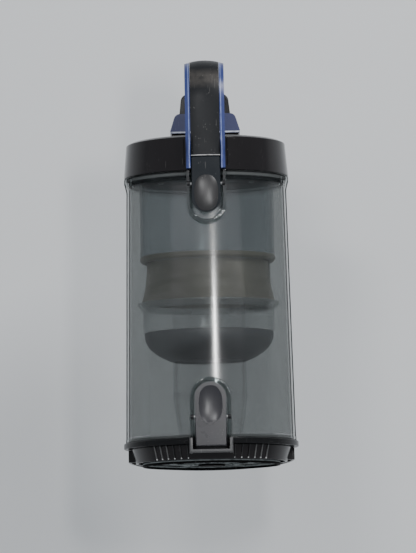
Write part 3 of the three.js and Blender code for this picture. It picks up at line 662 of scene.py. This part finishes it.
def ears():
    """The clear ears that carry the two hinge pins."""
    for name, radius, foot in (("lid", 4.4, -24), ("door", 4.6, 25)):
        y, z = axis_of(f"{name}_hinge_pin")
        root = 66 if foot < 0 else 70
        end = BIN_TOP if foot < 0 else z + 3
        cap = arc(y, z, radius, 0, 180, 16) if foot < 0 else arc(y, z, radius, 180, 360, 16)[::-1]
        outline = [*cap, Vector((y - radius, end)), Vector((root, end)), Vector((root, z + foot))]
        outline.append(Vector((root + 4, z + foot)))
        if foot > 0:
            outline.append(Vector((y + radius, z + 7)))
        for side, label in SIDES:
            start, stop = sorted((side * EARS[0], side * EARS[1]))
            ear = prism(f"{name}_ear_{label}", outline, "x", start, stop, 0.7)
            piece = carve(ear, hole_along_x(y, z, HINGE_HOLE, 45), wall_core())
            place(piece, "bin", "smoky_clear", "rail_clear", "bin_shell")


# ---------------------------------------------------------------- separator


def sleeve():
    """The clear cylinder above the mesh, hung from its flange."""
    low, high = cad("separator_sleeve")
    inner, outer, flange = 58.2, 60, 2
    profile = rounded([
        (inner, low.z, 0.4),
        (outer, low.z, 0.6),
        (outer, high.z - flange, 1.2),
        (high.x, high.z - flange, 0.4),
        (high.x, high.z, 0.4),
        (inner, high.z, 0.8),
    ])
    place(turned("sleeve", profile), "bin", "smoky_dark", "smoky_dark", "separator_sleeve")


def ridge():
    """The ring at the mesh screen's upper edge."""
    low, high = cad("screen_ring")
    inner = 54
    profile = rounded([
        (inner, low.z, 0.3),
        (58.6, low.z, 0.6),
        (high.x, low.z + 1.9, 0.7),
        (high.x, high.z, 0.8),
        (inner, high.z, 0.3),
    ])
    place(turned("ridge", profile), "bin", "mesh_brown", "ring_brown", "screen_ring")


def screen():
    """The mesh flares out towards its lower edge."""
    low, high = cad("mesh_screen")
    top_radius, curve, thick, steps = 54.6, 2.2, 1.1, 14
    flare = []
    for k in range(steps + 1):
        z = low.z + (high.z - low.z) * k / steps
        share = (high.z - z) / (high.z - low.z)
        flare.append((top_radius + (high.x - top_radius) * share ** curve, z))
    profile = flare + [(radius - thick, z) for radius, z in reversed(flare)]
    place(turned("screen", profile), "bin", "mesh_brown", "mesh_brown", "mesh_screen")


def separator_flange():
    """The ring that closes the mesh screen's lower edge."""
    low, high = cad("screen_flange")
    inner = 55.5
    profile = rounded([
        (inner, low.z, 0.3),
        (58.9, low.z, 0.6),
        (high.x, high.z - 1.6, 0.4),
        (high.x, high.z, 0.5),
        (inner, high.z, 0.3),
    ])
    place(turned("separator_flange", profile), "bin", "smoky_dark", "flange_clear", "screen_flange")


def light_skirt():
    """The clear cylinder between the mesh screen and the bowl."""
    low, high = cad("skirt")
    profile = ring_section(high.x - 1.6, high.x, low.z, high.z, (0.4, 0.6, 0.6, 0.4))
    place(turned("light_skirt", profile), "bin", "smoky_clear", "skirt_clear", "skirt")


def bowl():
    """The dark dust bowl, round below and open where the tube passes."""
    high = cad("dust_bowl")[1]
    waist, depth, neck, wall = 116.9, 28.4, 32.9, 1.8  # the neck is the radius of the hole for the tube

    def curve(radius, drop):
        """Half of an ellipse's lower side, from the neck out to the waist."""
        start = math.acos(neck / radius)
        angles = [start * (1 - k / 16) for k in range(17)]
        return [(radius * math.cos(a), waist - drop * math.sin(a)) for a in angles]

    inner = curve(high.x - wall, depth - wall)[::-1]
    rim = [(high.x, high.z - 0.5), (high.x - 0.5, high.z), (high.x - wall, high.z)]
    profile = [*curve(high.x, depth), *rim, *inner]
    place(turned("bowl", profile), "bin", "bowl_dark", "bowl_dark", "dust_bowl")


def tubes():
    """The outlet tube with its seal, and the socket on the door that its end stands in."""
    low, high = cad("outlet_tube")
    tube = ring_section(high.x - 1.8, high.x, low.z, high.z, (0.4, 0.6, 0.6, 0.4))
    place(turned("outlet", tube), "bin", "smoky_dark", "tube_clear", "outlet_tube")
    low, high = cad("tube_seal")
    lip = ring_section(high.x - 3.8, high.x, low.z, high.z, (0.5, 0.8, 0.8, 0.5))
    place(turned("outlet_gasket", lip), "bin", "smoky_dark", "tube_clear", "tube_seal")
    low, high = cad("outlet_socket")
    cup = [(25.5, low.z, 0.4), (27.5, low.z, 0.5), (high.x, high.z, 0.7), (high.x - 2, high.z, 0.5)]
    place(turned("socket", rounded(cup)), "door", "smoky_dark", "tube_clear", "outlet_socket")


# ---------------------------------------------------------------- lid and handle


def lid():
    """The cover with its hinge knuckle and the hollow platform that carries the cowl."""
    bottom = cad("lid_gasket")[0].z
    profile = rounded([
        (71.2, bottom, 0.4),
        (73.7, bottom, 0.9),
        (71.1, LID_EDGE - 0.2, 1.1),
        (67, LID_EDGE + 1.8, 4.0),
        (35, LID_CROWN - 0.8, 20.0),
        (0, LID_CROWN),
        (0, LID_CROWN - 3.3),
        (64.5, LID_EDGE - 1, 3.0),
        (68.5, LID_EDGE - 3, 1.0),
    ])
    body = turned("lid", profile, 192)
    y, z = axis_of("lid_hinge_pin")
    outline = [*arc(y, z, 4.4, 90, -90, 20), Vector((71, bottom)), Vector((70, z + 8))]
    knuckle = prism("knuckle", outline, "x", -HINGE_REACH, HINGE_REACH, 0.7)
    platform = block("platform", (-30, 9, 284), (30, 51, cad("rear_cowl")[0].z - 0.3), 1.5)
    hollow = block("hollow", (-27.5, 11.5, 280), (27.5, 48.5, 297.7))
    body = carve(join(body, knuckle, platform), hollow)
    hole = hole_along_x(y, z, HINGE_HOLE, 45)
    place(carve(body, hole, *lid_grooves(bottom)), "lid", "gloss_black", "gloss_black", "lid_cover")


def lid_grooves(bottom):
    """Fine upright grooves in the lid's front, one each side of the handle."""
    top, half = LID_EDGE - 1, 0.3
    depth = [(0, 200), (72.3, 200), (72.3, bottom), (70.2, top), (0, top)]
    inner = turned("inner", depth, 192)
    grooves = []
    for x in (-19, 19):
        groove = block("groove", (x - half, -90, bottom + 3.6), (x + half, -60, LID_EDGE - 2.2))
        grooves.append(carve(groove, copy_of(inner)))
    bpy.data.objects.remove(inner)
    return grooves


# The handle's outline, as Bezier points in Y and Z along its outer and its inner edge.
HANDLE_OUTER = [
    (-84, 258.6), (-83, 318),
    (-82.4, 345), (-68, 358.5), (-44, 358.5),
    (-20, 358.5), (2, 354), (16, 343),
    (26, 335), (32, 328), (33, 318.4),
]
HANDLE_INNER = [
    (-61, 258.6), (-61, 312),
    (-61, 328), (-55, 337.5), (-42, 337.5),
    (-24, 337.5), (-8, 335), (2, 327.5),
    (7, 323.5), (9.5, 321), (10, 318.4),
]


def handle_line(share, steps=16):
    """Points along the handle, a share of the way from its outer to its inner edge."""
    knots = [Vector(a).lerp(Vector(b), share) for a, b in zip(HANDLE_OUTER, HANDLE_INNER)]
    points = [knots[0].lerp(knots[1], k / 4) for k in range(4)]
    for i in range(1, len(knots) - 1, 3):
        a, b, c, d = knots[i:i + 4]
        for k in range(steps + (i + 4 > len(knots) - 1)):
            t, s = k / steps, 1 - k / steps
            points.append(a * s ** 3 + b * 3 * t * s ** 2 + c * 3 * t * t * s + d * t ** 3)
    return points


def handle_strip(name, start, end, low, high, bevel, lowest, crowned=True):
    """A slab of the handle between two lines along it, cut clear of the lid and the cowl."""
    count = round((high - low) / 2.3) if crowned else 1
    stations = [low + (high - low) * k / count for k in range(count + 1)]
    shares = [start + (CROWN * (x / HANDLE_HALF) ** 2 if crowned else 0) for x in stations]
    outlines = [handle_line(share) + handle_line(end)[::-1] for share in shares]
    piece = lofted(name, outlines, "x", stations, bevel, 4)
    side = [(74, 200), (74, 258), (71.8, 285), (70.7, LID_EDGE + 0.3), (67, LID_EDGE + 2.1)]
    room = turned("room", [(0, 200), *side, (0, LID_CROWN + 0.4)], 192)
    under = block("under", (-40, -100, 200), (40, -40, lowest))
    cowl_room = block("cowl_room", (-40, 7.7, 280), (40, 60, 318.3))
    return carve(piece, room, under, cowl_room)


def handle():
    """Two blue sides with the black grip's halves between them."""
    foot = HANDLE_OUTER[0][1]
    for side in ("left", "right"):
        node = f"handle_shell_{side}"
        low, high = cad(node)
        shell = handle_strip(f"handle_side_{side}", 0.005, 1, low.x, high.x, 0.9, foot)
        place(shell, "lid", "periwinkle", "periwinkle", node)
    low, high = cad("handle_outer_grip")
    top = handle_strip("handle_front", 0, 0.45, low.x, high.x, 0.5, low.z)
    place(top, "lid", "satin_black", "grip_black", "handle_outer_grip")
    low, high = cad("handle_inner_grip")
    under = handle_strip("handle_under", 0.47, 0.96, low.x, high.x, 1.2, 260, crowned=False)
    place(under, "lid", "satin_black", "satin_black", "handle_inner_grip")


def shoulder(bottom_half, top_half, bottom, top, corner):
    """An outline that narrows upwards, with round upper corners."""
    left = (-bottom_half, bottom, 1.6), (-top_half, top, corner)
    right = (top_half, top, corner), (bottom_half, bottom, 1.6)
    return rounded([*left, *right], 8)


def cowl():
    """The hollow housing of the release button, with a slot above and a way out for the hook behind."""
    low, high = cad("rear_cowl")
    wall = 2.5
    body = prism("cowl", shoulder(high.x, 26.5, low.z, high.z, 5.5), "y", low.y, high.y, 1.2)
    inside = shoulder(29.5, 24.5, low.z - 4, high.z - wall, 5)
    hollow = prism("hollow", inside, "y", low.y + wall, high.y - wall)
    slot = block("slot", (-24.2, 35.5, high.z - 5), (24.2, 47, high.z + 5))
    hook_way = block("hook_way", (-6.5, high.y - 4, low.z - 1), (6.5, high.y + 1, 313.5))
    place(carve(body, hollow, slot, hook_way), "lid", "cowl_violet", "cowl_violet", "rear_cowl")


def button():
    """The release button's cap, with a flange under the cowl and a pocket for its spring."""
    low, high = cad("release_button")
    cap = prism("button", shoulder(high.x, 21, low.z + 3, high.z, 6.5), "y", 36, 46.5, 1.4)
    flange = block("flange", (-22, low.y, low.z), (22, high.y, low.z + 4), 0.4)
    pocket = prism("pocket", circle(0, RELEASE_Y, 5, 45), "z", low.z - 1, low.z + 2.5)
    place(carve(join(cap, flange), pocket), "release", "satin_black", "satin_black", "release_button")


# ---------------------------------------------------------------- latches


def spring(name, node, body, axis, wire, turns):
    """A coil of round wire along Y or Z."""
    low, high = cad(node)
    middle, along = (low + high) / 2, "xyz".index(axis)
    radius, start, length = high.x - wire, low[along] + wire, high[along] - low[along] - 2 * wire
    steps, sides = 28 * turns, 10
    made = bmesh.new()
    loops = []
    for k in range(steps + 1):
        turn = 2 * math.pi * turns * k / steps
        section = circle(radius, start + length * k / steps, wire, sides)
        ring = [(reach * math.cos(turn), reach * math.sin(turn), w) for reach, w in section]
        spots = [(u, v + middle.y, w) if axis == "z" else (u, w, v + middle.z) for u, v, w in ring]
        loops.append([made.verts.new(spot) for spot in spots])
    bridged(made, loops)
    coil = place(as_object(name, made), body, "steel", "steel", node)
    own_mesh(coil)


def springs():
    spring("release_coil", "release_spring", "lid", "z", 0.5, 4)
    spring("lid_latch_coil", "lid_latch_spring", "bin", "y", 0.45, 3)
    spring("door_latch_coil", "door_latch_spring", "bin", "y", 0.45, 3)


def spring_pocket(node, back):
    """The round hollow in a lever's back where a spring's end sits."""
    low, high = cad(node)
    outline = circle(0, (low.z + high.z) / 2, high.x + 0.75, 45)
    return prism("pocket", outline, "y", low.y - 0.3, back + 1)


def lid_latch():
    """The upper lever with its raised thumb pad."""
    low, high = cad("lid_latch_lever")
    half, front, back, cut = high.x, low.y, -78.6, 1.5
    corners = [Vector((half - cut, high.z)), Vector((-half + cut, high.z))]
    outline = railed(half, low.z + half, high.z - cut) + corners
    plate = prism("latch_plate", outline, "y", front, back, 0.9)
    boss = prism("boss", circle(*LID_PIVOT, PIVOT_BOSS), "x", -half, half)
    hook = block("hook", (-8, back - 1, high.z - 5.4), (8, -76.9, high.z - 1), 0.3)
    hole, pocket = hole_along_x(*LID_PIVOT, PIVOT_HOLE), spring_pocket("lid_latch_spring", back)
    lever = carve(join(plate, boss, hook), hole, pocket)
    place(lever, "lid_latch", "satin_black", "lever_blue", "lid_latch_lever")
    low, high = cad("lid_latch_pad")
    middle = (low + high) / 2
    dome = oval("latch_pad", (14.2, 6, 21.3), (0, low.y + 6, middle.z), 128)
    behind = block("behind", (-40, high.y, 150), (40, high.y + 40, 300))
    place(soften(carve(dome, behind), 0.5, 3), "lid_latch", "latch_grey", "pad_dark", "lid_latch_pad")


def door_latch():
    """The lower lever with its hollow thumb dish."""
    low, high = cad("door_latch_lever")
    half, front, back = high.x, low.y, -80.2
    plate = prism("door_plate", railed(half, high.z - half, low.z), "y", front + 0.5, back, 0.9)
    boss = prism("boss", circle(*DOOR_PIVOT, PIVOT_BOSS), "x", -half, half)
    hook = block("hook", (-8, back - 1, low.z), (8, -78.3, low.z + 3.2), 0.3)
    middle = 50.1
    ellipse = [(12 * u, middle + 18 * v) for u, v in circle(0, 0, 1, 72)]
    lip = prism("lip", ellipse, "y", front, front + 3, 0.5, 3)
    dish = oval("dish", (13, 5.4, 20.2), (0, front - 3.1, middle))
    hole, pocket = hole_along_x(*DOOR_PIVOT, PIVOT_HOLE), spring_pocket("door_latch_spring", back)
    body = carve(join(plate, lip), dish)
    body = carve(join(body, boss, hook), hole, pocket)
    place(body, "door_latch", "latch_grey", "latch_grey", "door_latch_lever")


# ---------------------------------------------------------------- door


def door_rim():
    """The ring under the bin, with the hinge's middle knuckle."""
    edges = 0.4, 0.9, 0.9, 0.4
    ring = turned("rim", ring_section(70, cad("door_rim")[1].x, RIM_BOTTOM, RIM_TOP, edges), 192)
    y, z = axis_of("door_hinge_pin")
    outline = [*arc(y, z, 4.6, -90, 90, 20), Vector((75, RIM_TOP)), Vector((75, RIM_BOTTOM))]
    knuckle = prism("knuckle", outline, "x", -HINGE_REACH, HINGE_REACH, 0.6)
    hole = hole_along_x(y, z, HINGE_HOLE, 45)
    place(carve(join(ring, knuckle), hole), "door", "gloss_black", "rim_black", "door_rim")


def catch_loop():
    """The loop round the lower latch's end."""
    front, half, gap_half = cad("door_rim")[0].y, 19.2, 16.3
    loop = block("loop", (-half, front, 7.6), (half, -73.5, RIM_TOP), 1.0)
    gap = block("gap", (-gap_half, -100, 10.5), (gap_half, -60, 40))
    below = block("below", (-gap_half, front + 3.5, 0), (gap_half, -60, 11.5))
    behind = turned("behind", [(0, 0), (76, 0), (76, RIM_BOTTOM), (0, RIM_BOTTOM)], 192)
    place(carve(loop, gap, below, behind), "door", "gloss_black", "loop_grey", "door_rim")


def cone():
    """The ring that narrows downwards from the rim."""
    top = cad("door_skirt")[1].z
    profile = rounded([(65.5, SKIRT_BOTTOM, 0.4), (67.5, SKIRT_BOTTOM, 0.5), (71, top, 0.3), (69, top, 0.3)])
    place(turned("cone", profile, 192), "door", "gloss_black", "gloss_black", "door_skirt")


def rear_skirt():
    """The deeper half ring at the rear, tied to the cone by short ribs and cut to a slope below."""
    low, high = cad("door_skirt")
    inner, outer = 72.4, 74.4
    rear = turned("rear_skirt", ring_section(inner, outer, low.z, high.z, (0.4, 0.5, 0.3, 0.3)), 192)
    front = block("front", (-90, -90, -10), (90, 6, 40))
    slope = prism("slope", [(0, -9), (0, 5.4), (outer, 0), (90, -1.1), (90, -9)], "x", -90, 90)
    ties = []
    for degrees in (-84.3, *range(-72, 73, 24), 84.3):
        tie = block("tie", (-0.9, 66.5, 1.5), (0.9, inner + 1, high.z), 0.3)
        tie.data.transform(Matrix.Rotation(math.radians(degrees), 4, "Z"))
        ties.append(tie)
    piece = carve(join(carve(rear, front), *ties), slope)
    place(piece, "door", "gloss_black", "gloss_black", "door_skirt")


def fins():
    """Six fine ribs down the cone on each side of the latch, the outer ones paler by painted highlight."""
    top, bottom = cad("door_skirt")[1].z, SKIRT_BOTTOM + 0.4
    outline = [(-70, top), (-72.1, top), (-68.6, bottom), (-66.5, bottom)]
    for k in range(6):
        degrees = 17.3 + 5.5 * k
        for side, label in SIDES:
            fin = prism(f"fin_{label}_{k + 1}", outline, "x", -0.5, 0.5, 0.3, 2)
            fin.data.transform(Matrix.Rotation(math.radians(side * degrees), 4, "Z"))
            # the outer fins get a paler black that paints the light on their edges
            place(fin, "door", "gloss_black", "painted_light_fin" if k > 2 else "fin", "door_skirt")


def kept_nodes():
    """CAD nodes whose own shape is right get their detailed materials."""
    special = {
        "door_grille": "base_black",
        "door_seal": "grey_rubber",
        "lid_gasket": "grey_rubber",
        "lid_plate": "plate_grey",
    }
    slots = {entry["node"]: entry["material_slot"] for entry in frame["record"]["subparts"]}
    for name, node in frame["nodes"].items():
        if node.hide_render:
            continue
        look = LOOKS[special.get(name, slots[name])]
        for material_slot in node.material_slots:
            material_slot.material = look


# ---------------------------------------------------------------- studio


def one_sided(name, colour):
    """A plain surface that can only be seen from its front."""
    look, tree, shader, where = new_look(name)
    tone = blended(tree, cloud(tree, where, 3, 2), shade_of(colour, 0.985), shade_of(colour, 1.0))
    tree.links.new(tone, shader.inputs["Base Color"])
    shader.inputs["Roughness"].default_value = 0.8
    back = add(tree, "ShaderNodeNewGeometry").outputs["Backfacing"]
    see_through = add(tree, "ShaderNodeBsdfTransparent")
    mixed = add(tree, "ShaderNodeMixShader", {0: back, 1: shader.outputs[0], 2: see_through.outputs[0]})
    tree.links.new(mixed.outputs[0], tree.nodes["Material Output"].inputs["Surface"])
    return look


def sheet(name, corners, look):
    """A flat piece of the studio."""
    mesh = bpy.data.meshes.new(name)
    mesh.from_pydata(corners, [], [tuple(range(len(corners)))])
    mesh.materials.append(look)
    piece = bpy.data.objects.new(name, mesh)
    bpy.context.scene.collection.objects.link(piece)
    return piece


def studio():
    """A floor that only the camera sees, a backdrop and soft light from all round."""
    pale = one_sided("pale_sheet", (0.78, 0.79, 0.8))
    low, half, back = -0.0005, 8.0, 0.3
    corners = (-half, -half), (half, -half), (half, half), (-half, half)
    floor = sheet("floor", [(x, y, low) for x, y in corners], pale)
    for ray in ("diffuse", "glossy", "transmission", "shadow"):
        setattr(floor, f"visible_{ray}", False)
    sheet("backdrop", [(x, back, z) for x, z in corners], pale)
    world = bpy.data.worlds.new("soft_room")
    world.use_nodes = True
    world.node_tree.nodes["Background"].inputs["Color"].default_value = (0.9, 0.95, 1.0, 1)
    world.node_tree.nodes["Background"].inputs["Strength"].default_value = 0.5
    bpy.context.scene.world = world
    bpy.context.scene.cycles.transparent_max_bounces = 32  # the view crosses up to 16 clear faces


def lamp(name, at, aim, size, power, colour=(1, 1, 1)):
    """A soft rectangular lamp."""
    light = bpy.data.lights.new(name, "AREA")
    light.color = colour
    light.shape, light.size, light.size_y, light.energy = "RECTANGLE", *size, power
    piece = bpy.data.objects.new(name, light)
    piece.location = at
    piece.rotation_euler = (Vector(aim) - Vector(at)).to_track_quat("-Z", "Y").to_euler()
    bpy.context.scene.collection.objects.link(piece)


def lamps():
    """The wall reflects the streak, its thin upper part and a wide band that fades towards its ends."""
    lamp("key", (0.9, -1.3, 1.4), (0, 0, 0.18), (0.5, 0.5), 18)
    lamp("streak", (0.175, -1.25, 0.24), (0, 0, 0.1), (0.065, 0.13), 3.2)
    lamp("thin_streak", (0.155, -1.25, 0.4), (0, 0, 0.2), (0.018, 0.2), 0.06, (1, 0.86, 0.62))
    for width in (0.3, 0.7, 1.1, 1.6, 2.2, 3.0):
        lamp("pale_band", (-0.04, -1.25, 0.42), (0, 0, 0.24), (width, 0.14), 0.3 * width, (1, 0.94, 1))
    lamp("pad_lamp", (-0.23, -1.19, 0.6), (0, 0, 0.24), (0.2, 0.12), 3.5)


def camera():
    """Almost square on to the front, a little from below."""
    data = bpy.data.cameras.new("camera")
    data.sensor_width, data.lens = 36, 320
    view = bpy.data.objects.new("camera", data)
    aim, distance, below, roll = Vector((0, 0, 0.17)), 4.4, math.radians(5.3), math.radians(1.15)
    away = Vector((0, -math.cos(below), -math.sin(below)))
    turn = (-away).to_track_quat("-Z", "Y").to_matrix().to_4x4() @ Matrix.Rotation(-roll, 4, "Z")
    view.matrix_world = Matrix.Translation(aim + away * distance) @ turn
    data.clip_start, data.clip_end = 0.1, 50
    bpy.context.scene.collection.objects.link(view)
    bpy.context.scene.camera = view


for make in (
    bin_wall, rails, nubs, inlet, ears,
    sleeve, ridge, screen, separator_flange, light_skirt, bowl, tubes,
    lid, handle, cowl, button, lid_latch, door_latch, springs,
    door_rim, catch_loop, cone, rear_skirt, fins,
    kept_nodes, studio, lamps, camera,
):
    make()
